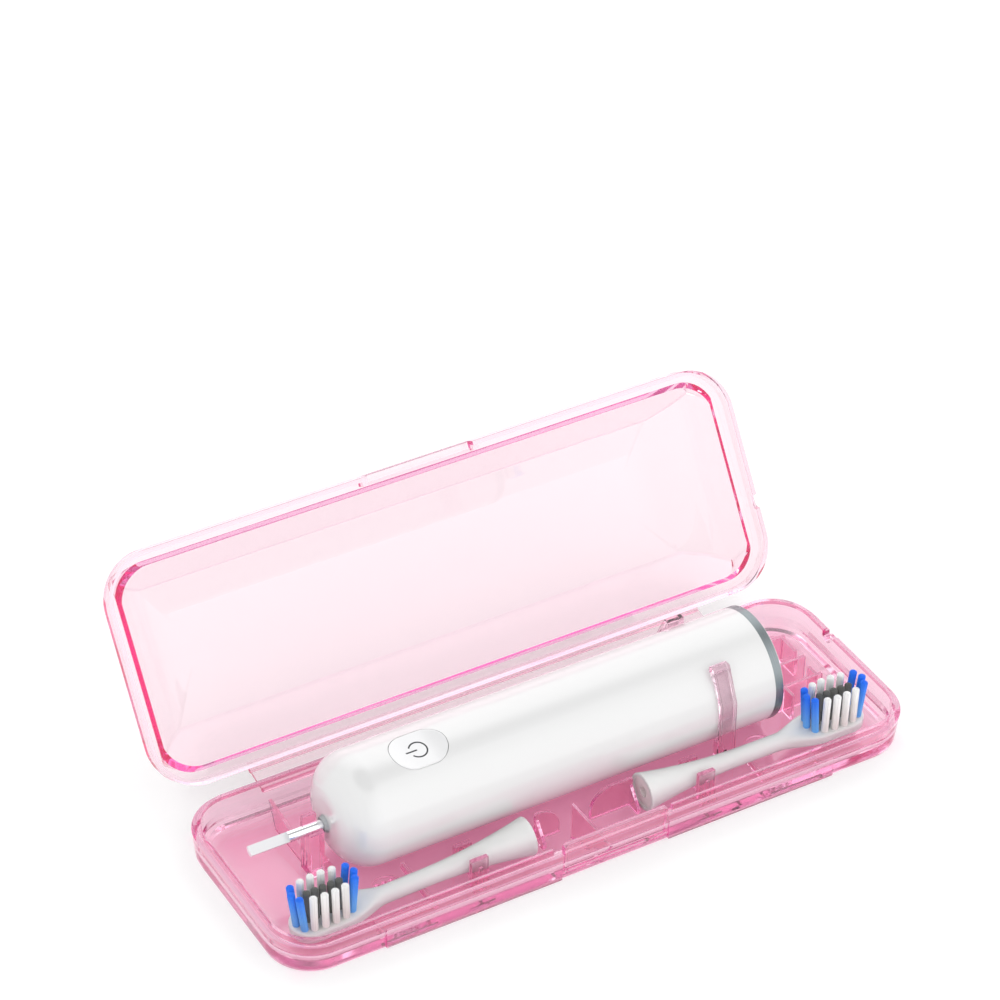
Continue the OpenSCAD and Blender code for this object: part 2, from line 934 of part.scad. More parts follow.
module power_button() {
    color("whitesmoke")
        in_bed()
            union() {
                intersection() {
                    translate([0, 0, button_low])
                        linear_extrude(handle_r)
                            button_plan(0);
                    turned()
                        square([handle_r + button_proud, body_l]);
                }
                intersection() {
                    translate([0, 0, button_low])
                        linear_extrude(button_flange)
                            button_plan(button_lap);
                    turned()
                        square([bore_r - 0.15, body_l]);
                }
            }
}

module shaft_boot() {
    lip_r = shaft_r + 0.1;
    color("gray")
        on_drive()
            turned()
                polygon([
                    [lip_r, -1.2],
                    [lip_r + 0.6, -1.2],
                    [seal_r - 0.3, 0],
                    [seal_r - 0.05, 0],
                    [seal_r - 0.05, nose_t],
                    [seal_r + 1.5, nose_t],
                    [seal_r + 1.5, can_x],
                    [lip_r, can_x]
                ]);
}

module drive_shaft() {
    tail = can_x + can_l - can_plate - 1;
    color("silver")
        on_drive()
            difference() {
                translate([-shaft_out, 0, 0])
                    rotate([0, 90, 0])
                        cylinder(r = shaft_r, h = shaft_out + tail);
                rotate([flat_turn, 0, 0])
                    box(-shaft_out - 1, shaft_flat - shaft_out, -2 * shaft_r, 2 * shaft_r, 0.2, 2 * shaft_r);
            }
}

module rotor_magnet() {
    color("dimgray")
        on_drive()
            turned()
                translate([shaft_r, magnet_x])
                    square([magnet_r - shaft_r, magnet_l]);
}

module shaft_bush() {
    color("darkgoldenrod")
        on_drive()
            turned()
                translate([shaft_r + shaft_gap, can_x])
                    square([bush_r - shaft_r - shaft_gap, bush_l]);
}

module motor_can() {
    back = can_x + can_l;
    color("lightslategray")
        on_drive()
            turned()
                difference() {
                    translate([0, can_x])
                        square([can_r, can_l]);
                    translate([-1, can_x + can_plate])
                        square([can_r - can_t + 1, can_l - 2 * can_plate]);
                    translate([-1, can_x - 1])
                        square([bush_r + 1, can_plate + 2]);
                    translate([-1, back - can_plate - 1])
                        square([shaft_r + 1.4, can_plate + 2]);
                }
}

module field_coil() {
    color("peru")
        on_drive()
            turned()
                translate([coil_in, can_x + can_plate])
                    square([coil_out - coil_in, can_l - 2 * can_plate]);
}

// Trough with bulkheads that carry the motor, the battery and the board.
module inner_frame() {
    floor_r = frame_r - frame_t;
    motor_stations = [frame_x + 2, can_x + can_l - 4];
    cell_stations = [cell_x + 4, cell_x + cell_l - 4 - bulkhead_t];
    module bulkhead(x, hole) {
        difference() {
            intersection() {
                turned()
                    translate([0, x])
                        square([frame_r - 0.5, bulkhead_t]);
                box(0, handle_l, -handle_r, handle_r, -handle_r, board_z);
            }
            translate([x - 1, 0, -shaft_drop])
                rotate([0, 90, 0])
                    cylinder(r = hole, h = bulkhead_t + 2);
        }
    }
    color("lightgray")
        in_bed()
            union() {
                intersection() {
                    turned()
                        translate([floor_r, frame_x])
                            square([frame_t, frame_end - frame_x]);
                    box(0, handle_l, -handle_r, handle_r, -handle_r, 0);
                }
                for (x = motor_stations)
                    bulkhead(x, can_r + cell_fit);
                for (x = cell_stations)
                    bulkhead(x, cell_r + cell_fit);
                bulkhead(frame_end - bulkhead_t, 1.5);
                turned()
                    translate([0, frame_end - 1])
                        square([charge_post, charge_l + 1]);
            }
}

module battery_cell() {
    color("steelblue")
        on_drive()
            union() {
                turned()
                    translate([0, cell_x])
                        square([cell_r, cell_l]);
                turned()
                    translate([0, cell_x + cell_l - eps])
                        square([2.7, 1.2]);
            }
}

module circuit_board() {
    color("darkgreen")
        in_bed()
            box(board_x, board_x + board_l, -board_w / 2, board_w / 2, board_z, board_z + board_t);
}

module tact_switch() {
    low = board_z + board_t;
    color("black")
        in_bed()
            union() {
                translate([button_x, 0, 0])
                    box(-switch_w / 2, switch_w / 2, -switch_w / 2, switch_w / 2, low, low + switch_t);
                translate([button_x, 0, low])
                    cylinder(r = nub_r, h = switch_t + nub_t);
            }
}

module charging_coil() {
    color("peru")
        in_bed()
            turned()
                translate([charge_post + 0.1, frame_end])
                    square([charge_r - charge_post, charge_l]);
}

// Brush head, drawn along X from its open end with the bristles upwards

module left_head() {
    translate([left_base_x, head_y, head_z])
        mirror([1, 0, 0])
            rotate([0, left_dip, 0])
                children();
}

module right_head() {
    translate([right_base_x, head_y, head_z])
        rotate([0, right_dip, 0])
            children();
}

module plate_plan(inset) {
    end_r = plate_w / 2 - inset;
    translate([(plate_low + plate_top) / 2, 0])
        square([plate_top - plate_low, 2 * end_r], center = true);
    for (x = [plate_low, plate_top])
        translate([x, 0])
            circle(end_r);
}

module stem() {
    flare_r = (pow(flare_l, 2) + pow(stem_r - neck_r, 2)) / (2 * (stem_r - neck_r));
    difference() {
        union() {
            turned()
                difference() {
                    square([stem_r, neck_end]);
                    translate([neck_r + flare_r, flare_l])
                        circle(flare_r, $fn = 360);
                    translate([neck_r, flare_l])
                        square([stem_r, neck_end]);
                }
            translate([0, 0, plate_z - plate_t])
                linear_extrude(plate_t)
                    plate_plan(0);
            hull() {
                translate([neck_end - 8, 0, 0])
                    rotate([0, 90, 0])
                        cylinder(r = neck_r, h = 1, $fn = 32);
                translate([plate_low + 1, 0, plate_z - plate_t])
                    cylinder(r = plate_w / 2 - 1.6, h = plate_t - slice_t, $fn = 32);
            }
        }
        translate([0, 0, plate_z - slice_t])
            linear_extrude(2 * stem_r)
                plate_plan(slice_in);
        turned()
            union() {
                translate([0, -1])
                    square([disc_r, socket_in + disc_t + 1]);
                translate([0, -1])
                    square([socket_r, socket_l + 1]);
            }
    }
}

module drive_socket() {
    turned()
        difference() {
            union() {
                translate([0, socket_in])
                    square([disc_r, disc_t]);
                translate([0, socket_in])
                    square([socket_r, socket_l - socket_in]);
            }
            translate([-1, socket_in - 1])
                square([shaft_r + socket_gap + 1, socket_l - socket_in - 1]);
        }
}

function ring_points(n, r) = [for (i = [0:n - 1]) [r * cos(360 * i / n), r * sin(360 * i / n)]];

// One tuft at a distance from the tip, leaning away from the middle of the head.
module tuft(from_tip, y, l, lean) {
    translate([head_l - from_tip, y, plate_z - slice_t / 2])
        rotate([0, lean, 0])
            for (p = concat(ring_points(ring_strands, tuft_r), ring_points(core_strands, core_r)))
                translate([p[0], p[1], 0])
                    cylinder(r = strand_r, h = l + slice_t / 2, $fn = 4);
}

// Slice of the bristle plate between two distances from the tip and two distances from its middle line.
module plate_slice(d0, d1, y0, y1) {
    translate([0, 0, plate_z - slice_t])
        linear_extrude(slice_t)
            intersection() {
                plate_plan(slice_in + 0.02);
                translate([head_l - d1, y0])
                    square([d1 - d0, y1 - y0]);
            }
}

module white_tufts() {
    for (s = [-1, 1]) {
        plate_slice(tip_zone, far_zone, min(s * mid_row, s * plate_w), max(s * mid_row, s * plate_w));
        for (i = [0:3])
            tuft(first_tuft + i * tuft_pitch, s * (row_y + (i == 1 || i == 2 ? row_bow : 0)), bristle_l, 0);
    }
}

module grey_tufts() {
    plate_slice(tip_zone, far_zone, -mid_row, mid_row);
    for (i = [0:4])
        tuft(grey_first + i * grey_pitch, 0, bristle_l - 2.6 * bristle_step, 0);
}

module blue_tufts() {
    l = bristle_l + bristle_step;
    plate_slice(-1, tip_zone, -plate_w, plate_w);
    plate_slice(far_zone, head_l, -plate_w, plate_w);
    for (s = [-1, 1]) {
        tuft(tip_zone - 1.45, s * blue_side, l, blue_lean);
        tuft(far_zone + 1.45, s * blue_side, l, -blue_lean);
    }
    tuft(tip_zone - 2.75, 0, l, blue_lean);
    tuft(far_zone + 2.75, 0, l, -blue_lean);
}

module left_stem() {
    color("white")
        left_head()
            stem();
}

module left_socket() {
    color("mistyrose")
        left_head()
            drive_socket();
}

module left_white_tufts() {
    color("white")
        left_head()
            white_tufts();
}

module left_grey_tufts() {
    color("dimgray")
        left_head()
            grey_tufts();
}

module left_blue_tufts() {
    color("dodgerblue")
        left_head()
            blue_tufts();
}

module right_stem() {
    color("white")
        right_head()
            stem();
}

module right_socket() {
    color("mistyrose")
        right_head()
            drive_socket();
}

module right_white_tufts() {
    color("white")
        right_head()
            white_tufts();
}

module right_grey_tufts() {
    color("dimgray")
        right_head()
            grey_tufts();
}

module right_blue_tufts() {
    color("dodgerblue")
        right_head()
            blue_tufts();
}

base_tray();
handle_clip();
lid_shell();
hinge_strap();
handle_shell();
end_ring();
end_cap();
cap_seal();
power_button();
shaft_boot();
drive_shaft();
rotor_magnet();
shaft_bush();
motor_can();
field_coil();
inner_frame();
battery_cell();
circuit_board();
tact_switch();
charging_coil();
left_stem();
left_socket();
left_white_tufts();
left_grey_tufts();
left_blue_tufts();
right_stem();
right_socket();
right_white_tufts();
right_grey_tufts();
right_blue_tufts();
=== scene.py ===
# %% [markdown]
# # A travel case for an electric toothbrush
#
# The case is one clear pink moulding in two halves, base and lid, joined by a moulded hinge strap.
# It lies open and holds a white toothbrush handle and two brush heads. The CAD model gives every
# rigid piece its place and size. This script gives the pieces their finishes, and builds the three
# kinds of piece that CAD keeps plain: the bristle tufts, the smooth stems and the dished button.
# Lengths are metres in the CAD model's frame, except where a name or a comment says millimetres.

import math

import bmesh
import bpy
from mathutils import Matrix, Vector


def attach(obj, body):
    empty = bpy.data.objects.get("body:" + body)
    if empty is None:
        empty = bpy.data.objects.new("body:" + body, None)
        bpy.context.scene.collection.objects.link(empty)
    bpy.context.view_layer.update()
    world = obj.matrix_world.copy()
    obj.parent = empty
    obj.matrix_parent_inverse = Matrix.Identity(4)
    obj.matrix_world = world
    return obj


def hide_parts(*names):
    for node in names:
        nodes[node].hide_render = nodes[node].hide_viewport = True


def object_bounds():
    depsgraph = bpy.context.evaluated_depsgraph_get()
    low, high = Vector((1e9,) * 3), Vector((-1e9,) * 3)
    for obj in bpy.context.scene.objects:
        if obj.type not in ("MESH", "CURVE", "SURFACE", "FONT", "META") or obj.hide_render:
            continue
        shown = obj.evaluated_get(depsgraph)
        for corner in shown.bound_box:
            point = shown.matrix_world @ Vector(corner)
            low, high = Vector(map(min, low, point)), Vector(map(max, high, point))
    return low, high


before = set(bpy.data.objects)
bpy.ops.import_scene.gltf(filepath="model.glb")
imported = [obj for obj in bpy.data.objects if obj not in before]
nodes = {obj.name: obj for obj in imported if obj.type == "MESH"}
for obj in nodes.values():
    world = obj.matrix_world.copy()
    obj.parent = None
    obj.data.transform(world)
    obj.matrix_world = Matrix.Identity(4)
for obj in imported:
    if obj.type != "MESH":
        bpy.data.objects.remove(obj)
cad_low, cad_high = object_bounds()
scene = bpy.context.scene
print("CAD nodes:", len(nodes), "box in mm:", [round(v * 1000, 1) for v in (*cad_low, *cad_high)])

# %% [markdown]
# ## The camera
#
# A product photograph is usually taken with a long lens from well above the table, so that parallel
# edges stay nearly parallel. The camera's place was solved from the case's corners in the photograph.
# Building its rotation from three directions (right, up, back) keeps a small roll that a simple
# "look at" would lose. The shift slides the picture over the object, as a view camera's lens does.

# %% Place the camera
AZIMUTH, ELEVATION, ROLL = (math.radians(a) for a in (-30.736, 37.712, 1.087))
CAMERA_PLACE = Vector((-0.515695, -0.816847, 0.855535))
SENSOR_MM, LENS_MM = 36, 139.41
SHIFT = (0.0205, 0.0298)  # shares of the picture's width
FAR_LIMIT = 20

right = Vector((math.cos(AZIMUTH), math.sin(AZIMUTH), 0))
back = Vector((math.sin(AZIMUTH) * math.cos(ELEVATION),
               -math.cos(AZIMUTH) * math.cos(ELEVATION),
               math.sin(ELEVATION)))
up = back.cross(right)
rolled_right = right * math.cos(ROLL) + up * math.sin(ROLL)
rolled_up = up * math.cos(ROLL) - right * math.sin(ROLL)
turn = Matrix((rolled_right, rolled_up, back)).transposed()

camera_data = bpy.data.cameras.new("camera")
camera_data.sensor_width, camera_data.lens = SENSOR_MM, LENS_MM
camera_data.shift_x, camera_data.shift_y = SHIFT
camera_data.clip_end = FAR_LIMIT
camera = bpy.data.objects.new("camera", camera_data)
scene.collection.objects.link(camera)
camera.matrix_world = Matrix.Translation(CAMERA_PLACE) @ turn.to_4x4()
scene.camera = camera
print("camera", [round(v, 3) for v in camera.location], "lens", camera_data.lens)

# %% [markdown]
# ## Helpers for colour and nodes
#
# Colours are read off a screen as sRGB hex values, but a renderer adds up light, so each one is
# turned to linear first. A material is a tree of nodes. One short function adds a node with its
# settings, values and links, so that each node takes a line or two and reads from left to right.
# Patterns are sized in millimetres: a noise of scale 1 has lumps about one metre across.

# %% Colour helper and node helper
WHITE_LIGHT = (1.0, 1.0, 1.0, 1.0)


def linear(code):
    """Turns an sRGB hex value such as "f3a0b4" into linear red, green, blue and alpha."""
    channels = [int(code[i:i + 2], 16) / 255 for i in (0, 2, 4)]
    return (*[c / 12.92 if c <= 0.04045 else ((c + 0.055) / 1.055) ** 2.4 for c in channels], 1.0)


def add(tree, kind, values=None, links=None, **settings):
    """Adds one node, with its settings, its sockets' values and the links into it."""
    node = tree.nodes.new(kind)
    for name, value in settings.items():
        setattr(node, name, value)
    for socket, value in (values or {}).items():
        node.inputs[socket].default_value = value
    for socket, source in (links or {}).items():
        tree.links.new(source, node.inputs[socket])
    return node


def per_metre(size_mm):
    """The noise scale that gives lumps of a size in millimetres."""
    return 1000.0 / size_mm


print("pure pink ff0080 in linear light:", [round(c, 3) for c in linear("ff0080")])

# %% [markdown]
# ## Light
#
# Glossy white plastic shows its lights. In the photograph the handle has one long grey band between
# two bright sides: that is the gap between a soft light in front and one behind. So the world is
# bright near the horizon and dimmer overhead, with one wide glow in front and one behind. Each glow
# fades out smoothly, like a silk screen lit from its middle, so the handle shows no hard edge. Clear
# plastic needs no more than this, because it borrows its brightness from the pale floor behind it.
#
# Light that enters a clear rim is trapped there and is mirrored from side to side hundreds of times
# before it gets out. A path that is cut off too early ends in black, so the limits are very high.

# %% World and its two glows
TRAPPED_BOUNCES, DIFFUSE_BOUNCES = 320, 10
HORIZON_LIGHT, OVERHEAD_LIGHT = 1.2, 0.28
DIM_FROM, DIM_TO = 0.84, 0.96  # upward part of a direction: 0 at the horizon, 1 straight up

scene.view_settings.view_transform = "Standard"
paths = scene.cycles
paths.max_bounces = paths.transmission_bounces = paths.glossy_bounces = TRAPPED_BOUNCES
paths.diffuse_bounces = DIFFUSE_BOUNCES

world = bpy.data.worlds.new("studio")
world.use_nodes = True
sky = world.node_tree
sky.nodes.clear()
direction = add(sky, "ShaderNodeTexCoord").outputs["Generated"]
axes = add(sky, "ShaderNodeSeparateXYZ", links={"Vector": direction})
height = add(sky, "ShaderNodeMapRange", {"From Min": DIM_FROM, "From Max": DIM_TO},
             {"Value": axes.outputs["Z"]}, interpolation_type="SMOOTHSTEP")
ramp = add(sky, "ShaderNodeValToRGB", links={"Fac": height.outputs["Result"]})
for stop, brightness in zip(ramp.color_ramp.elements, (HORIZON_LIGHT, OVERHEAD_LIGHT)):
    stop.color = (brightness, brightness, brightness, 1)


def glow(towards, widest, narrowest, radiance):
    """Light that fades in from the widest to the narrowest angle, in degrees, round a direction."""
    near = add(sky, "ShaderNodeVectorMath", {1: Vector(towards).normalized()}, {0: direction},
               operation="DOT_PRODUCT")
    start, full = (math.cos(math.radians(a)) for a in (widest, narrowest))
    fade = add(sky, "ShaderNodeMapRange", {"From Min": start, "From Max": full, "To Max": radiance},
               {"Value": near.outputs["Value"]}, interpolation_type="SMOOTHSTEP")
    return fade.outputs["Result"]


front_glow = glow((0.42, -0.90, 0.16), widest=60, narrowest=15, radiance=0.45)
back_glow = glow((0.45, 0.90, 0.62), widest=52, narrowest=12, radiance=0.6)
both = add(sky, "ShaderNodeMath", links={0: front_glow, 1: back_glow}, operation="ADD")
overall = add(sky, "ShaderNodeVectorMath",
              links={0: ramp.outputs["Color"], 1: both.outputs["Value"]}, operation="ADD")
light = add(sky, "ShaderNodeBackground", links={"Color": overall.outputs["Vector"]})
add(sky, "ShaderNodeOutputWorld", links={"Surface": light.outputs["Background"]})
scene.world = world
print("world:", HORIZON_LIGHT, "at the horizon,", OVERHEAD_LIGHT, "overhead, and two glows")

# %% [markdown]
# ## The floor
#
# The photograph has no shadow, as if the case lay on a light table. So the floor is matt white paper
# that gives off a little light of its own, which fills most of the shadow. In the photograph the
# tray is far pinker than its thin floor alone would be, as if the paper below it were lit pink
# through the plastic. That pink is painted light, done here by hand: under the case the paper gives
# off pink light and a little less of it, and it returns more of the light that falls on it. Both
# change to plain white paper over about a centimetre, and end at the case's edge.

# %% Lay the paper floor
FLOOR_REACH, FLOOR_GAP = 6, 0.0002
FOOTPRINT = (0.112, 0.034, 0)  # half length and half depth, up to the middle of the change
FADE = 0.006  # to each side of the middle of the change
# painted pink light: under the case the paper gives off pink light, in place of light coming through the
# pink plastic
PAINTED_PINK_LIGHT = "ffb5d4"


def start_material(name):
    """An empty node material, its tree, and the object's own coordinates for its patterns."""
    material = bpy.data.materials.new(name)
    material.use_nodes = True
    material.node_tree.nodes.clear()
    return material, material.node_tree, add(material.node_tree, "ShaderNodeTexCoord").outputs["Object"]


corners = [(x * FLOOR_REACH, y * FLOOR_REACH, 0) for x, y in ((-1, -1), (1, -1), (1, 1), (-1, 1))]
floor_mesh = bpy.data.meshes.new("floor")
floor_mesh.from_pydata(corners, [], [(0, 1, 2, 3)])
floor = bpy.data.objects.new("floor", floor_mesh)
floor.location.z = cad_low.z - FLOOR_GAP
scene.collection.objects.link(floor)

paper, paper_tree, paper_place = start_material("white_paper_sweep")
waves = add(paper_tree, "ShaderNodeTexNoise", {"Scale": per_metre(30), "Detail": 2.0},
            {"Vector": paper_place})
dent = add(paper_tree, "ShaderNodeBump", {"Strength": 0.02, "Distance": 0.0001},
           {"Height": waves.outputs["Fac"]})
reach = add(paper_tree, "ShaderNodeVectorMath", links={0: paper_place}, operation="ABSOLUTE")
past = add(paper_tree, "ShaderNodeVectorMath", {1: FOOTPRINT}, {0: reach.outputs["Vector"]},
           operation="SUBTRACT")
sides = add(paper_tree, "ShaderNodeSeparateXYZ", links={"Vector": past.outputs["Vector"]})
outside = add(paper_tree, "ShaderNodeMath", links={0: sides.outputs["X"], 1: sides.outputs["Y"]},
              operation="MAXIMUM")


def across_edge(under_case, in_the_open, fade="SMOOTHSTEP"):
    """A number that changes from under the case to the open paper."""
    step = add(paper_tree, "ShaderNodeMapRange",
               {"From Min": -FADE, "From Max": FADE, "To Min": under_case, "To Max": in_the_open},
               {"Value": outside.outputs["Value"]}, interpolation_type=fade)
    return step.outputs["Result"]


# painted pink light under the case, which fades to the white paper's own light at the case's edge
tone = add(paper_tree, "ShaderNodeValToRGB", links={"Fac": across_edge(0.0, 1.0, "LINEAR")})
for stop, colour in zip(tone.color_ramp.elements, (linear(PAINTED_PINK_LIGHT), WHITE_LIGHT)):
    stop.color = colour
sheet = add(paper_tree, "ShaderNodeBsdfPrincipled", {"Roughness": 0.9, "Specular IOR Level": 0.1},
            {"Normal": dent.outputs["Normal"], "Base Color": across_edge(0.88, 0.48),
             "Emission Strength": across_edge(0.38, 0.55), "Emission Color": tone.outputs["Color"]})
add(paper_tree, "ShaderNodeOutputMaterial", links={"Surface": sheet.outputs["BSDF"]})
floor_mesh.materials.append(paper)
print("floor lies", FLOOR_GAP * 1000, "mm below the case")

# %% [markdown]
# ## Clear pink case plastic
#
# Travel cases are injection-moulded in a clear styrene plastic with a little dye. A thin panel
# looks almost white, but a rim that is seen end-on looks hot pink, because light travels a long way
# through the dye there. Two means share the work here. A tint on the surface colours light each time
# it passes through a wall, so walls seen through each other are deeper. A weak dye in the volume
# colours it with the distance travelled, which a tint alone can't do. The mould is polished, so
# reflections are sharp, with a slow ripple where the plastic flowed.

# %% Case plastic
STYRENE_IOR = 1.5  # clear plastics lie between 1.49 and 1.59


def clear_styrene(name, skin_tint, dye, dye_per_metre, rough=0.03):
    """Clear plastic: its surface tint, and the dye in its depth as the colour that gets through."""
    material, tree, place = start_material(name)
    flow = add(tree, "ShaderNodeTexNoise", {"Scale": per_metre(33.3), "Detail": 1.0}, {"Vector": place})
    ripple = add(tree, "ShaderNodeBump", {"Strength": 0.12, "Distance": 0.0004},
                 {"Height": flow.outputs["Fac"]})
    skin = add(tree, "ShaderNodeBsdfPrincipled",
               {"Base Color": linear(skin_tint), "Roughness": rough, "IOR": STYRENE_IOR,
                "Transmission Weight": 1.0},
               {"Normal": ripple.outputs["Normal"]})
    depth = add(tree, "ShaderNodeVolumeAbsorption", {"Color": linear(dye), "Density": dye_per_metre})
    add(tree, "ShaderNodeOutputMaterial",
        links={"Surface": skin.outputs["BSDF"], "Volume": depth.outputs["Volume"]})
    return material


def dress(material, *names):
    """Gives CAD nodes their finish."""
    for name in names:
        nodes[name].data.materials.clear()
        nodes[name].data.materials.append(material)
    print(material.name, "on", ", ".join(names))


lid_plastic = clear_styrene("pale_pink_styrene", "faebef", "fa7cda", 22.0)
# The base is a little duller, which runs the many small reflections of its ribs together
base_plastic = clear_styrene("clear_pink_styrene", "fcdae7", "fa89da", 12.0, rough=0.07)
# painted light: the clip has the base's dye but a paler surface tint, which brightens it against the shade
# that falls on the handle behind it
clip_plastic = clear_styrene("shade_lightened_pink_styrene", "fde7f0", "fa89da", 12.0)
dress(lid_plastic, "lid_shell", "hinge_strap")
dress(base_plastic, "base_tray")
dress(clip_plastic, "handle_clip")

# %% [markdown]
# ## Handle plastics
#
# The handle is moulded ABS with a clear lacquer over it: a soft white body under a second, sharper
# gloss. Principled's coat is exactly that second layer. The button is the same lacquered ABS over a
# slightly broader gloss. ABS and lacquer have an IOR of about 1.5. The lacquer's was then raised,
# because the photographed handle mirrors its lights more strongly than that.

# %% Lacquered ABS and satin ABS
ABS_IOR, LACQUER_IOR, LACQUER_ROUGH = 1.53, 1.7, 0.08


def white_abs(name, tone, rough):
    """White ABS under lacquer, faintly clouded, with the fine dimples that sprayed lacquer has."""
    material, tree, place = start_material(name)
    cloud = add(tree, "ShaderNodeTexNoise", {"Scale": per_metre(40), "Detail": 2.0}, {"Vector": place})
    shade = add(tree, "ShaderNodeValToRGB", links={"Fac": cloud.outputs["Fac"]})
    shade.color_ramp.elements[0].color = linear(tone)
    shade.color_ramp.elements[1].color = (*[min(1, c * 1.02) for c in linear(tone)[:3]], 1)
    peel = add(tree, "ShaderNodeTexNoise", {"Scale": per_metre(1.43), "Detail": 1.0}, {"Vector": place})
    dimple = add(tree, "ShaderNodeBump", {"Strength": 0.05, "Distance": 0.00005},
                 {"Height": peel.outputs["Fac"]})
    body = add(tree, "ShaderNodeBsdfPrincipled",
               {"Roughness": rough, "IOR": ABS_IOR, "Coat Weight": 1.0,
                "Coat Roughness": LACQUER_ROUGH, "Coat IOR": LACQUER_IOR},
               {"Base Color": shade.outputs["Color"], "Normal": dimple.outputs["Normal"]})
    add(tree, "ShaderNodeOutputMaterial", links={"Surface": body.outputs["BSDF"]})
    return material


lacquered_abs = white_abs("lacquered_white_abs", "d9d9d9", 0.22)
satin_abs = white_abs("satin_white_abs", "dededf", 0.3)
dress(lacquered_abs, "handle_shell", "end_cap")

# %% [markdown]
# ## Metals
#
# The ring at the handle's end is plated and brushed round its edge, and the drive shaft is ground
# steel. Both are drawn by the same means: the lines come from noise that is squeezed along one axis.
# Real tool marks are far finer than a pixel here, so they are drawn as coarse as they need to be to
# show. The shaft's end is milled flat for the brush head, and milling leaves a duller face.

# %% Metals
SHAFT_FLAT_END, MILLED_ROUGH = -0.0975, 0.5


def worked_metal(name, tone, rough, mark_mm, streak=0.12, milled_to=None):
    """Metal with tool marks of a size along X, Y and Z; what lies below milled_to on X is duller."""
    material, tree, place = start_material(name)
    stretch = add(tree, "ShaderNodeMapping", {"Scale": [per_metre(mm) for mm in mark_mm]},
                  {"Vector": place})
    marks = add(tree, "ShaderNodeTexNoise", {"Scale": 1.0, "Detail": 3.0},
                {"Vector": stretch.outputs["Vector"]})
    gloss = add(tree, "ShaderNodeMapRange", {"To Min": max(0.02, rough - streak), "To Max": rough + streak},
                {"Value": marks.outputs["Fac"]})
    if milled_to is not None:
        axes = add(tree, "ShaderNodeSeparateXYZ", links={"Vector": place})
        milled = add(tree, "ShaderNodeMath", {1: milled_to}, {0: axes.outputs["X"]}, operation="LESS_THAN")
        dull = add(tree, "ShaderNodeMath", {1: MILLED_ROUGH}, {0: milled.outputs["Value"]},
                   operation="MULTIPLY")
        gloss = add(tree, "ShaderNodeMath", links={0: dull.outputs["Value"], 1: gloss.outputs["Result"]},
                    operation="MAXIMUM")
    scratch = add(tree, "ShaderNodeBump", {"Strength": 0.15, "Distance": 0.00002},
                  {"Height": marks.outputs["Fac"]})
    metal = add(tree, "ShaderNodeBsdfPrincipled", {"Base Color": linear(tone), "Metallic": 1.0},
                {"Roughness": gloss.outputs[0], "Normal": scratch.outputs["Normal"]})
    add(tree, "ShaderNodeOutputMaterial", links={"Surface": metal.outputs["BSDF"]})
    return material


# Brushing runs round the ring: close lines along X, long ones across it. Windings look the same.
dress(worked_metal("brushed_plated_ring", "858c8f", 0.3, (0.25, 16.67, 16.67)), "end_ring")
dress(worked_metal("ground_stainless_steel", "f6f6f8", 0.16, (12.5, 1.11, 1.11), 0.04, SHAFT_FLAT_END),
      "drive_shaft")
dress(worked_metal("nickel_plated_magnet", "a9aaac", 0.25, (3.33, 3.33, 3.33)), "rotor_magnet")
dress(worked_metal("sintered_bronze", "9c7a45", 0.5, (0.333, 0.333, 0.333)), "shaft_bush")
dress(worked_metal("drawn_steel_can", "a4a7ab", 0.32, (8.33, 1.11, 1.11)), "motor_can")
dress(worked_metal("enamelled_copper_winding", "b0622c", 0.3, (0.222, 25, 25)), "field_coil")
dress(worked_metal("enamelled_copper_coil", "b56a33", 0.3, (0.222, 25, 25)), "charging_coil")

# %% [markdown]
# ## Rubber and inner plastics
#
# The collar at the shaft and the cap's seal are soft grey rubber, which scatters light broadly and
# shows no sharp highlight. The frame, battery film, board and switch are inside the closed handle.
# They are finished too, because the model can be opened. A fine grain in both colour and relief
# keeps each of them from looking like plain paint.

# %% Rubber and inner plastics
def matt_moulding(name, tone, rough, grain_mm, relief):
    """Plain moulding or film with a fine grain of the given size in millimetres."""
    material, tree, place = start_material(name)
    grit = add(tree, "ShaderNodeTexNoise", {"Scale": per_metre(grain_mm), "Detail": 2.0}, {"Vector": place})
    shade = add(tree, "ShaderNodeValToRGB", links={"Fac": grit.outputs["Fac"]})
    shade.color_ramp.elements[0].color = (*[c * 0.9 for c in linear(tone)[:3]], 1)
    shade.color_ramp.elements[1].color = linear(tone)
    dent = add(tree, "ShaderNodeBump", {"Strength": relief, "Distance": 0.0001},
               {"Height": grit.outputs["Fac"]})
    body = add(tree, "ShaderNodeBsdfPrincipled", {"Roughness": rough},
               {"Base Color": shade.outputs["Color"], "Normal": dent.outputs["Normal"]})
    add(tree, "ShaderNodeOutputMaterial", links={"Surface": body.outputs["BSDF"]})
    return material


dress(matt_moulding("grey_silicone_rubber", "b3b6b8", 0.6, 0.4, 0.2), "shaft_boot", "cap_seal")
dress(matt_moulding("glass_filled_nylon", "c9c9c6", 0.55, 0.6, 0.3), "inner_frame")
dress(matt_moulding("blue_battery_film", "3f6c9f", 0.3, 3.0, 0.1), "battery_cell")
dress(matt_moulding("green_solder_mask", "14603a", 0.35, 1.2, 0.4), "circuit_board")
dress(matt_moulding("black_switch_nylon", "1c1c1e", 0.5, 0.5, 0.3), "tact_switch")
dress(matt_moulding("pale_acetal_socket", "f7f0ef", 0.35, 1.0, 0.05), "left_socket", "right_socket")

# %% [markdown]
# ## Where the brush heads lie
#
# Both heads have the same shape. Each is drawn once, from its open end and with the bristles up, and
# a function then puts every point in its place in the case. The left head points to the left, the
# right one to the right, and each dips a little towards its tip, as in the photograph.

# %% Head sizes and places
MM = 0.001
HEAD_L, STEM_R, NECK_R, FLARE_L = 87.0, 6.8, 3.1, 40.0
PLATE_TOP, PLATE_T, PLATE_W = 2.2, 4.0, 14.0

# Where each head's axis starts, which way it runs along X and how far its tip dips, in mm and degrees
HEADS = {
    "left": (Vector((-23.5, -23.5, 8.7)), -1, 1.8),
    "right": (Vector((20.0, -23.5, 8.7)), 1, 0.8),
}


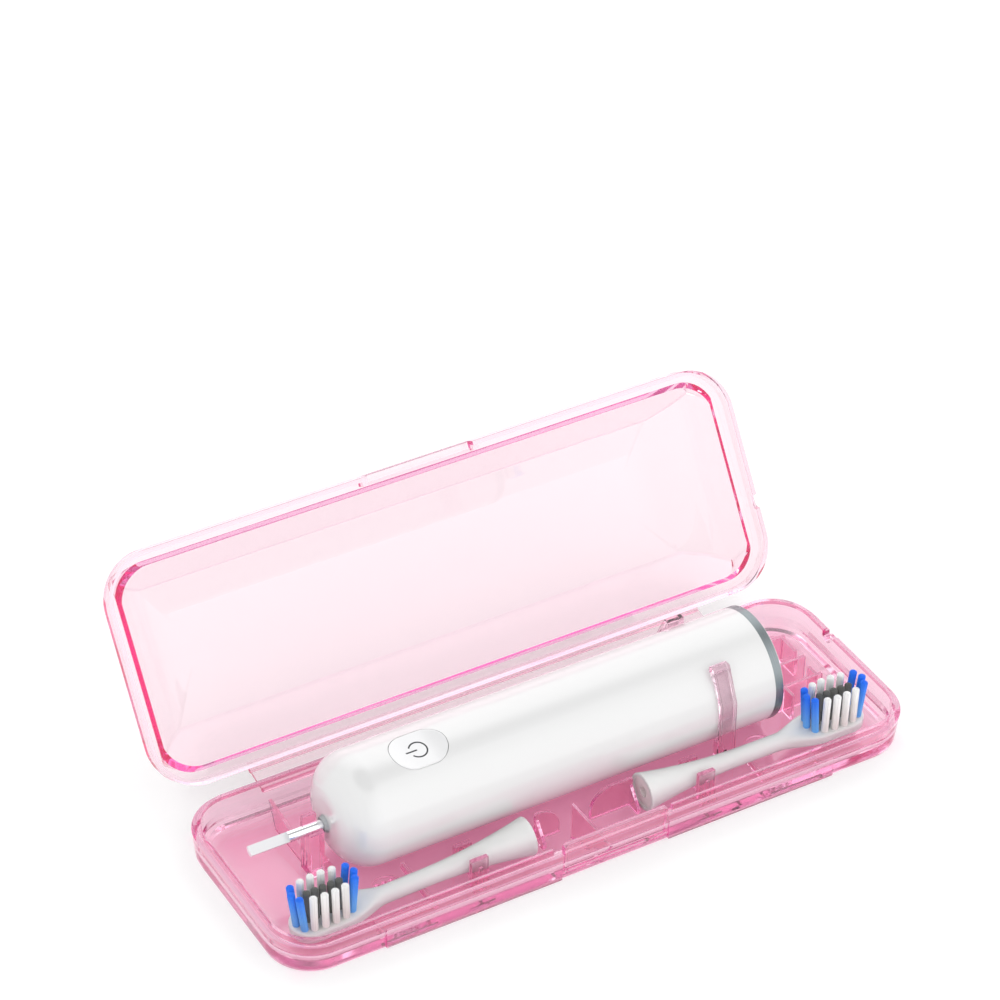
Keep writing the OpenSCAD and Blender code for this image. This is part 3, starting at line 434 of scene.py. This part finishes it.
def in_case(side, x, y, z):
    """A point of a head, measured in mm from its open end, as a place in the case in metres."""
    start, way, dip = HEADS[side]
    a = math.radians(dip)
    run, rise = x * math.cos(a) + z * math.sin(a), z * math.cos(a) - x * math.sin(a)
    return (start + Vector((way * run, y, rise))) * MM


print("tips at x =", [round(in_case(side, HEAD_L, 0, 0).x / MM, 1) for side in HEADS], "mm")

# %% [markdown]
# ## One way to make a piece
#
# Every piece that this script builds starts as a list of points and a list of faces. Turning those
# into an object takes the same few steps each time: make the mesh, turn its faces outwards, shade it
# smooth except at real edges, give it a finish, and say which body it rides on and what it replaces.

# %% Make a piece from points and faces
def make_mesh_piece(name, vertices, faces, material, body, replaced=(), angle=40):
    """A piece that rides on a body, shaded smooth except at edges sharper than the angle."""
    mesh = bpy.data.meshes.new(name)
    mesh.from_pydata([tuple(v) for v in vertices], [], faces)
    mesh.validate()
    work = bmesh.new()
    work.from_mesh(mesh)
    bmesh.ops.recalc_face_normals(work, faces=work.faces)
    work.to_mesh(mesh)
    work.free()
    mesh.polygons.foreach_set("use_smooth", [True] * len(mesh.polygons))
    mesh.set_sharp_from_angle(angle=math.radians(angle))
    mesh.materials.append(material)
    piece = bpy.data.objects.new(name, mesh)
    scene.collection.objects.link(piece)
    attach(piece, body)
    if replaced:
        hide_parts(*replaced)
    print(name, "has", len(mesh.polygons), "faces")
    return piece


# %% [markdown]
# ## Brush-head stems
#
# A stem flares like a trumpet at its open end and flows into a flat oval plate at the other. It
# could be carved with a subdivision cage, but a loft says the same with a few numbers: one closed
# ring of points at each station along the stem, from a true circle to a rounded slab. A single
# number, the squareness, turns the circle into the slab. The rings stand closer together where the
# outline turns fast, at the plate's neck and at its tip.

# %% The stem's sections
RING = 72  # points in a ring
WIDEN_FROM, WIDEN_L, FLATTEN_FROM, FLATTEN_L = 53, 16, 54, 12
# How much the plate's tip is rounded, from how far past the middle of its end circle, over what length
TOP_ROUNDING, LOW_ROUNDING = (0.5, 5.6, 1.4), (0.9, 4.5, 2.5)
FLARE_ARC = (FLARE_L ** 2 + (STEM_R - NECK_R) ** 2) / (2 * (STEM_R - NECK_R))


def smooth(t):
    """Goes from 0 to 1 with a soft start and a soft end."""
    t = min(1.0, max(0.0, t))
    return t * t * (3 - 2 * t)


def rounding(tip, amount, start, length):
    """How far the plate's face has turned in, at a distance past the middle of its end circle."""
    return amount * smooth((tip - start) / length)


def stem_section(x):
    """Half width, top, bottom and squareness of the stem at a distance from its open end, in mm."""
    radius = NECK_R
    if x < FLARE_L:
        radius += FLARE_ARC - math.sqrt(FLARE_ARC ** 2 - (FLARE_L - x) ** 2)
    widen, flatten = smooth((x - WIDEN_FROM) / WIDEN_L), smooth((x - FLATTEN_FROM) / FLATTEN_L)
    half = radius + (PLATE_W / 2 - radius) * widen
    top = radius + (PLATE_TOP - radius) * flatten
    low = -radius + (PLATE_TOP - PLATE_T + radius) * flatten
    tip = x - (HEAD_L - PLATE_W / 2)
    if tip > 0:
        half = math.sqrt(max(0.0, (PLATE_W / 2) ** 2 - tip ** 2))
        top -= rounding(tip, *TOP_ROUNDING)
        low += rounding(tip, *LOW_ROUNDING)
    return half, top, low, 2 + 4 * flatten


def ring_of(half, top, low, square):
    """A closed ring between a circle and a rounded slab, as (y, z) pairs in mm."""
    middle, rise = (top + low) / 2, (top - low) / 2
    points = []
    for k in range(RING):
        a = 2 * math.pi * k / RING
        c, s = math.cos(a), math.sin(a)
        points.append((half * math.copysign(abs(c) ** (2 / square), c),
                       middle + rise * math.copysign(abs(s) ** (2 / square), s)))
    return points


def loft(ring_count):
    """Faces that join rings of RING points each, with one flat face at either end."""
    faces = []
    for r in range(ring_count - 1):
        for k in range(RING):
            a, b = r * RING + k, r * RING + (k + 1) % RING
            faces.append((a, b, b + RING, a + RING))
    faces.append(tuple(range(RING - 1, -1, -1)))
    last = (ring_count - 1) * RING
    faces.append(tuple(last + k for k in range(RING)))
    return faces


print("the stem is", round(2 * stem_section(30)[0], 1), "mm wide 30 mm from its open end")

# %% [markdown]
# ## Milky polypropylene
#
# The stems are moulded in polypropylene: white, slightly see-through, with a soft gloss. Light goes
# in a millimetre or two and comes out beside where it went in, so shadows on it are never hard. That
# is subsurface scattering, and it reaches almost as far in every colour, which keeps the white
# neutral.

# %% Stem plastic
MILKY_TONES, POLYPROPYLENE_IOR, MILKY_DEPTH = ("dddedd", "e4e4e3"), 1.49, 0.0015

milky, tree, place = start_material("milky_polypropylene")
cloud = add(tree, "ShaderNodeTexNoise", {"Scale": per_metre(5.56), "Detail": 2.0}, {"Vector": place})
shade = add(tree, "ShaderNodeValToRGB", links={"Fac": cloud.outputs["Fac"]})
for stop, code in zip(shade.color_ramp.elements, MILKY_TONES):
    stop.color = linear(code)
dent = add(tree, "ShaderNodeBump", {"Strength": 0.04, "Distance": 0.0001}, {"Height": cloud.outputs["Fac"]})
body = add(tree, "ShaderNodeBsdfPrincipled",
           {"Roughness": 0.28, "IOR": POLYPROPYLENE_IOR, "Subsurface Weight": 0.35,
            "Subsurface Radius": (1.0, 0.9, 0.9), "Subsurface Scale": MILKY_DEPTH},
           {"Base Color": shade.outputs["Color"], "Normal": dent.outputs["Normal"]})
add(tree, "ShaderNodeOutputMaterial", links={"Surface": body.outputs["BSDF"]})
print("stem plastic:", milky.name)

# %% [markdown]
# ## Loft the stems
#
# The open end is a moulded mouth: a rounded lip, a shallow recess, and a bore that takes the drive
# socket. It is lofted in the same go as the outside, by starting the rings at the bottom of the bore
# and coming out over the lip. The plate's rounded tip closes in a small flat face.

# %% Loft the stems
DISC_R, DISC_END, CORE_R, CORE_END = 5.4, 2.6, 3.5, 14.0
# Distance from the open end and radius of each ring in the mouth, from the bore's bottom to the lip
MOUTH = ((CORE_END, CORE_R), (DISC_END, CORE_R), (DISC_END, DISC_R), (0.1, DISC_R),
         (0.0, DISC_R + 0.15), (0.0, STEM_R - 0.4), (0.08, STEM_R - 0.18))
STATIONS = [0.25, 0.6] + [1.5 + 1.5 * i for i in range(35)] + [54 + 0.75 * i for i in range(34)]
STATIONS += [79.5 + 0.5 * i for i in range(11)] + [85.3, 85.8, 86.2, 86.5, 86.75, 86.92]

rings = [[(x, y, z) for y, z in ring_of(r, r, -r, 2)] for x, r in MOUTH]
rings += [[(x, y, z) for y, z in ring_of(*stem_section(x))] for x in STATIONS]
for side in HEADS:
    points = [in_case(side, *p) for ring in rings for p in ring]
    make_mesh_piece(side + "_stem_moulding", points, loft(len(rings)), milky, "head_" + side,
                    [side + "_stem"])

# %% [markdown]
# ## Nylon for the bristles
#
# Bristles are nylon filament: smooth, with a clear highlight along each one. The blue ones are paler
# at the root and the grey ones darker at the tip. Here that is a change of colour with height. The
# shader also gives each filament its own brightness from its number as a loose island of the mesh,
# which stands in for the way real ones catch the light differently.

# %% Nylon
NYLON_IOR, NYLON_ROUGH = 1.53, 0.3
TURNS_FROM, TURNS_TO = 12 * MM, 23 * MM  # height over the floor between which the colour turns
DIMMEST, BRIGHTEST = 0.9, 1.04


def nylon(name, low_tone, high_tone):
    """Nylon filament whose colour runs from the plate to the tip."""
    material, tree, place = start_material(name)
    axes = add(tree, "ShaderNodeSeparateXYZ", links={"Vector": place})
    rise = add(tree, "ShaderNodeMapRange", {"From Min": TURNS_FROM, "From Max": TURNS_TO},
               {"Value": axes.outputs["Z"]})
    tone = add(tree, "ShaderNodeValToRGB", links={"Fac": rise.outputs["Result"]})
    tone.color_ramp.elements[0].color = linear(low_tone)
    tone.color_ramp.elements[1].color = linear(high_tone)
    strand = add(tree, "ShaderNodeNewGeometry")
    vary = add(tree, "ShaderNodeMapRange", {"To Min": DIMMEST, "To Max": BRIGHTEST},
               {"Value": strand.outputs["Random Per Island"]})
    shade = add(tree, "ShaderNodeHueSaturation",
                links={"Color": tone.outputs["Color"], "Value": vary.outputs["Result"]})
    rod = add(tree, "ShaderNodeBsdfPrincipled", {"Roughness": NYLON_ROUGH, "IOR": NYLON_IOR},
              {"Base Color": shade.outputs["Color"]})
    add(tree, "ShaderNodeOutputMaterial", links={"Surface": rod.outputs["BSDF"]})
    return material


NYLON = {
    "white": nylon("white_nylon", "fbfaf6", "ffffff"),
    "grey": nylon("charcoal_infused_nylon", "9a9c98", "6b6c69"),
    "blue": nylon("blue_indicator_nylon", "74c0ff", "2a86ff"),
}
print("nylons:", sorted(NYLON))

# %% [markdown]
# ## Where the tufts stand
#
# Seen from above, each head has a row of white tufts along either side, a row of grey ones along the
# middle, and blue ones at both ends that lean outwards. A tuft is some fifty filaments that are
# folded into one round hole, so they pack like a honeycomb: each row is offset by half a step.

# %% Tuft places
# Distance from the tip, place across the plate and lean towards the tip, in mm and degrees
WHITE = [(6.28 + 3.8 * i, s * (4.9 if i in (1, 2) else 4.5), 0.0) for s in (-1, 1) for i in range(4)]
GREY = [(6.18 + 2.897 * i, 0.0, 0.0) for i in range(5)]
BLUE = [(d, s * 3.2, lean) for s in (-1, 1) for d, lean in ((3.4, 5.7), (20.55, -5.7))]
BLUE += [(2.1, 0.0, 5.7), (21.85, 0.0, -5.7)]
TUFTS = {"white": (WHITE, 14.0), "grey": (GREY, 12.7), "blue": (BLUE, 14.5)}  # with their length in mm
TUFT_R, PITCH, ROD_R = 1.27, 0.3, 0.148
ROW_STEP = PITCH * 0.866  # rows of a honeycomb are closer than the places in a row


def honeycomb(radius):
    """Places in a honeycomb inside a circle, in mm."""
    rows = int(radius / ROW_STEP) + 1
    spots = []
    for j in range(-rows, rows + 1):
        for i in range(-rows - 2, rows + 3):
            x, y = (i + 0.5 * (j % 2)) * PITCH, j * ROW_STEP
            if x * x + y * y <= radius * radius:
                spots.append((x, y))
    return spots


SPOTS = honeycomb(TUFT_R - ROD_R + 0.06)
print("filaments in a tuft:", len(SPOTS))

# %% [markdown]
# ## Plant the tufts
#
# Hair particles would draw filaments too, but they are no mesh, and the exported model would lose
# them. So each filament is a six-sided rod with a rounded end, in one mesh for all tufts of a
# colour. The tuft spreads a little towards its tips, is trimmed to a low dome, and its filaments
# end at slightly different heights, as cut nylon does.

# %% Plant the tufts
SIDES = 6
ROOT, DOME, UNEVEN, SPREAD = 0.4, 1.0, 0.12, 0.10  # mm, except the spread, which is a share
# A rod's rings: how far below its end they lie, and their share of its radius; the root comes first
SHOULDERS = ((0.25, 1.0), (0.07, 0.75))


def tuft_mesh(side, places, length):
    """All tufts of one colour on one head, as points and faces."""
    points, faces = [], []
    for from_tip, across, lean in places:
        a = math.radians(lean)

        def plant(px, py, up):
            """A point of a tuft, px and py from its middle and at a height, leant and put in the case."""
            return in_case(side, HEAD_L - from_tip + px * math.cos(a) + up * math.sin(a), across + py,
                           PLATE_TOP + up * math.cos(a) - px * math.sin(a))

        for k, (dx, dy) in enumerate(SPOTS):
            rho = math.hypot(dx, dy) / TUFT_R
            trim = length - DOME * (1 - math.sqrt(max(0.0, 1 - rho * rho))) - UNEVEN * ((k * 7) % 5) / 5
            splay = 1 + SPREAD * rho
            first = len(points)
            for level, size in ((-ROOT, 1.0), *[(trim - below, share) for below, share in SHOULDERS]):
                spread = 1 + (splay - 1) * max(0.0, level) / length
                for m in range(SIDES):
                    t = math.pi * m / 3
                    points.append(plant(dx * spread + ROD_R * size * math.cos(t),
                                        dy * spread + ROD_R * size * math.sin(t), level))
            points.append(plant(dx * splay, dy * splay, trim))
            for ring in (0, SIDES):
                for m in range(SIDES):
                    b, c = first + ring + m, first + ring + (m + 1) % SIDES
                    faces.append((b, c, c + SIDES, b + SIDES))
            last, end = first + 2 * SIDES, first + 3 * SIDES
            faces += [(last + m, last + (m + 1) % SIDES, end) for m in range(SIDES)]
            faces.append(tuple(first + m for m in range(SIDES - 1, -1, -1)))
    return points, faces


for side in HEADS:
    for colour, (places, length) in TUFTS.items():
        points, faces = tuft_mesh(side, places, length)
        piece = make_mesh_piece(f"{side}_{colour}_bristles", points, faces, NYLON[colour], "head_" + side,
                                [f"{side}_{colour}_tufts"], angle=75)
    print(side, "head has", sum(len(p) for p, _ in TUFTS.values()), "tufts")

# %% [markdown]
# ## The button's surface
#
# The power button is an oval with a shallow hollow for the thumb. In the CAD it is the handle's own
# surface, cut out. The hollow is smooth and very slight, so it is worked out as a height for any
# point rather than carved: the handle's round, less a bowl that is deepest in the middle and ends at
# the oval's edge. The button and the symbol on it then both ask the same function.

# %% Button sizes and its surface
NOSE, HANDLE_R, HANDLE_TURN = Vector((-84.0, 2.5, 21.9)), 20.0, 10.0
BUTTON_X, BUTTON_L, BUTTON_W, BUTTON_LOW = 32.2, 20.0, 14.5, 15.0
DISH, PROUD = 1.4, 0.12
HALF_W, REACH = BUTTON_W / 2, (BUTTON_L - BUTTON_W) / 2  # the oval's end circles and where they sit


def on_handle(x, y, z):
    """A point of the handle, in mm from its nose with the button up, as a place in the case in metres."""
    a = math.radians(HANDLE_TURN)
    return (NOSE + Vector((x, y * math.cos(a) - z * math.sin(a), y * math.sin(a) + z * math.cos(a)))) * MM


def oval(angle):
    """The button's outline: two half circles joined by straight sides."""
    c = math.cos(angle)
    return HALF_W * c + math.copysign(REACH, c) * min(1, abs(c) * 6), HALF_W * math.sin(angle)


def thumb_surface(x, y):
    """Height of the button's top over the handle's axis; x is from the button's middle."""
    away = math.hypot(max(0.0, abs(x) - REACH), y) / HALF_W
    bowl = DISH * (1 - away ** 2)
    return math.sqrt((HANDLE_R + PROUD) ** 2 - y * y) - bowl


print("button is dished by", DISH, "mm and stands", PROUD, "mm proud at its edge")

# %% [markdown]
# ## The dished button
#
# The top is a net of ovals round one middle point, each a little larger than the last, like the
# rings of a cut tree. Three more rings make its side: a small rounding, the edge, and the bottom
# inside the handle. Every ring has the same number of points, so two short loops join them all, and
# the lacquer's reflection runs smoothly over them.

# %% Build the button
TURN, RINGS = 96, 28
TOP_SHARE = 0.975  # how much of the oval the net of rings covers
SIDE_RINGS = ((0.992, 0.07), (1.0, 0.25), (1.0, None))  # share of the oval, and mm below its top

points = [on_handle(BUTTON_X, 0, thumb_surface(0, 0))]
outline = [oval(2 * math.pi * k / TURN) for k in range(TURN)]
for r in range(1, RINGS + 1):
    for x, y in outline:
        px, py = x * (r / RINGS) * TOP_SHARE, y * (r / RINGS) * TOP_SHARE
        points.append(on_handle(BUTTON_X + px, py, thumb_surface(px, py)))
for scale, drop in SIDE_RINGS:
    for x, y in outline:
        top = BUTTON_LOW if drop is None else thumb_surface(x * scale, y * scale) - drop
        points.append(on_handle(BUTTON_X + x * scale, y * scale, top))

rows = RINGS + len(SIDE_RINGS)
faces = [(0, 1 + k, 1 + (k + 1) % TURN) for k in range(TURN)]
for r in range(rows - 1):
    for k in range(TURN):
        a, b = 1 + r * TURN + k, 1 + r * TURN + (k + 1) % TURN
        faces.append((a, a + TURN, b + TURN, b))
faces.append(tuple(1 + (rows - 1) * TURN + k for k in range(TURN)))
button = make_mesh_piece("dished_button", points, faces, satin_abs, "button", ["power_button"], angle=50)

# %% [markdown]
# ## The printed symbol
#
# The mark on the button is the generic sign for power: a ring with a gap, and a bar in the gap. On
# the real thing it is pad-printed, a film of ink a few hundredths of a millimetre thick. It is built
# as a thin ribbon that follows a path over the button's surface, so it dips with the thumb hollow
# and moves with the button.

# %% Print the power symbol
INK_T, INK_ROOT, STROKE, SYMBOL_R = 0.03, -0.05, 0.52, 3.05
SYMBOL_GAP, BAR_START, BAR_L = math.radians(32), -0.4, 4.0
RING_STEPS, BAR_STEPS = 60, 12
ink = matt_moulding("dark_grey_pad_print", "2c2d30", 0.5, 0.5, 0.05)


def ribbon(path, name):
    """A thin flat ribbon that follows a path of (x, y) pairs on the button's top."""
    points, faces = [], []
    for i, (x, y) in enumerate(path):
        ahead, behind = path[min(i + 1, len(path) - 1)], path[max(i - 1, 0)]
        along = Vector((ahead[0] - behind[0], ahead[1] - behind[1])).normalized()
        aside = Vector((-along.y, along.x)) * STROKE / 2
        for lift in (INK_T, INK_ROOT):
            for s in (1, -1):
                px, py = x + s * aside.x, y + s * aside.y
                points.append(on_handle(BUTTON_X + px, py, thumb_surface(px, py) + lift))
    for i in range(len(path) - 1):
        a, b = 4 * i, 4 * i + 4
        faces += [(a, b, b + 1, a + 1), (a + 2, a + 3, b + 3, b + 2),
                  (a, a + 2, b + 2, b), (a + 1, b + 1, b + 3, a + 3)]
    end = 4 * len(path)
    faces += [(0, 1, 3, 2), (end - 4, end - 2, end - 1, end - 3)]
    return make_mesh_piece(name, points, faces, ink, "button")


sweep = 2 * math.pi - 2 * SYMBOL_GAP
ring_angles = [math.pi + SYMBOL_GAP + sweep * i / RING_STEPS for i in range(RING_STEPS + 1)]
ribbon([(SYMBOL_R * math.cos(a), SYMBOL_R * math.sin(a)) for a in ring_angles], "power_symbol_ring")
ribbon([(BAR_START - BAR_L * i / BAR_STEPS, 0.0) for i in range(BAR_STEPS + 1)], "power_symbol_bar")

# %% [markdown]
# ## Smooth shading
#
# CAD surfaces come in as many small flat faces. Smooth shading with sharp edges kept makes a turned
# or rounded face read as one surface, and moves no point.

# %% Shade
SHARPEST_SMOOTH = 28  # degrees between two faces that still read as one surface

for name, node in nodes.items():
    mesh = node.data
    mesh.polygons.foreach_set("use_smooth", [True] * len(mesh.polygons))
    mesh.set_sharp_from_angle(angle=math.radians(SHARPEST_SMOOTH))
